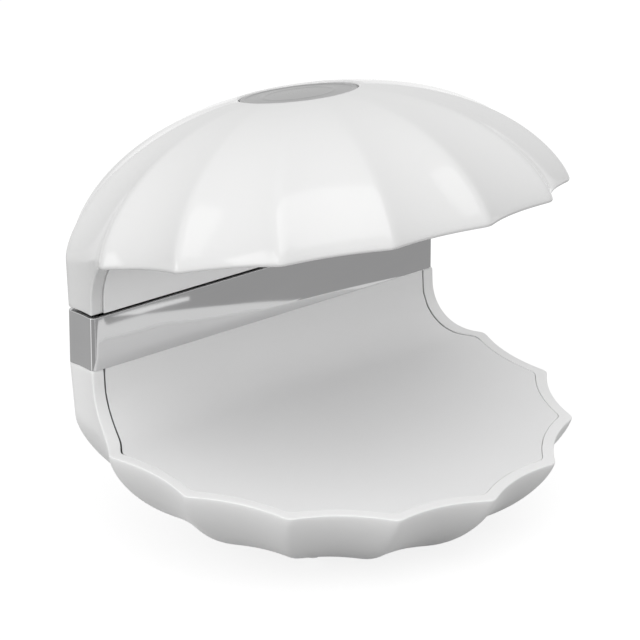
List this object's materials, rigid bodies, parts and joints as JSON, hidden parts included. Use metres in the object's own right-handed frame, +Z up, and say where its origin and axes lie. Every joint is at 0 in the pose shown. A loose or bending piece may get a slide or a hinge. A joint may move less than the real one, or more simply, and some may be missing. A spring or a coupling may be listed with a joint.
{
  "type": "gel nail lamp",
  "caption": "Scallop shell nail lamp: two fluted half shells held apart at the back by a chrome band, a smooth tray below, lamps in the ceiling and a round push button on top.",
  "frame": {"origin": "on the table, under the middle of the lamp's bounds", "axes": "+X to the lamp's right seen from the open side, +Y from the open side to the back, +Z up"},
  "size_m": [0.1288, 0.1168, 0.1095],
  "materials": {
    "shell_white": "glossy white moulded plastic",
    "lining_grey": "satin light grey moulded plastic",
    "bright_chrome": "bright chrome plating on plastic",
    "black_plastic": "plain black plastic",
    "board_green": "green solder mask",
    "board_white": "white solder mask",
    "lens_clear": "clear moulded lens with a faint violet tint",
    "screw_steel": "plain steel screw",
    "inlet_steel": "plain pressed steel sleeve",
    "coil_dark": "dark moulded ferrite and sleeve",
    "lead_red": "red insulated flat lead",
    "foot_rubber": "dark grey soft rubber"
  },
  "bodies": {
    "housing": {"lower_shell": "shell_white", "upper_shell": "shell_white", "lower_tray": "lining_grey", "upper_liner": "lining_grey", "back_band": "bright_chrome", "tact_switch": "black_plastic", "tie_post_left": "black_plastic", "tie_post_right": "black_plastic", "driver_chip": "black_plastic", "button_board": "board_green", "driver_board": "board_green", "lamp_board": "board_white", "lamp_lens_1": "lens_clear", "lamp_lens_2": "lens_clear", "lamp_lens_3": "lens_clear", "lamp_lens_4": "lens_clear", "lamp_lens_5": "lens_clear", "lamp_lens_6": "lens_clear", "lamp_lens_7": "lens_clear", "lamp_lens_8": "lens_clear", "lamp_lens_9": "lens_clear", "lamp_lens_10": "lens_clear", "lamp_lens_11": "lens_clear", "lamp_lens_12": "lens_clear", "button_board_screw_1": "screw_steel", "button_board_screw_2": "screw_steel", "lamp_board_screw_1": "screw_steel", "lamp_board_screw_2": "screw_steel", "liner_screw_1": "screw_steel", "liner_screw_2": "screw_steel", "liner_screw_3": "screw_steel", "tie_screw_lower_left": "screw_steel", "tie_screw_upper_left": "screw_steel", "tie_screw_lower_right": "screw_steel", "tie_screw_upper_right": "screw_steel", "driver_board_screw_1": "screw_steel", "driver_board_screw_2": "screw_steel", "base_screw_1": "screw_steel", "base_screw_2": "screw_steel", "base_screw_3": "screw_steel", "base_screw_4": "screw_steel", "power_inlet": "inlet_steel", "driver_coil": "coil_dark", "driver_capacitor_1": "coil_dark", "driver_capacitor_2": "coil_dark", "lamp_lead": "lead_red", "foot_1": "foot_rubber", "foot_2": "foot_rubber", "foot_3": "foot_rubber", "foot_4": "foot_rubber"},
    "button": {"timer_button": "bright_chrome", "switch_plunger": "black_plastic"}
  },
  "joints": [
    {"name": "button_press", "type": "slide", "parent": "housing", "child": "button", "axis": [0, -0.1711, -0.9853], "range_m": [0, 0.0007], "stiffness_N_per_m": 1800, "springref_m": -0.0006}
  ]
}
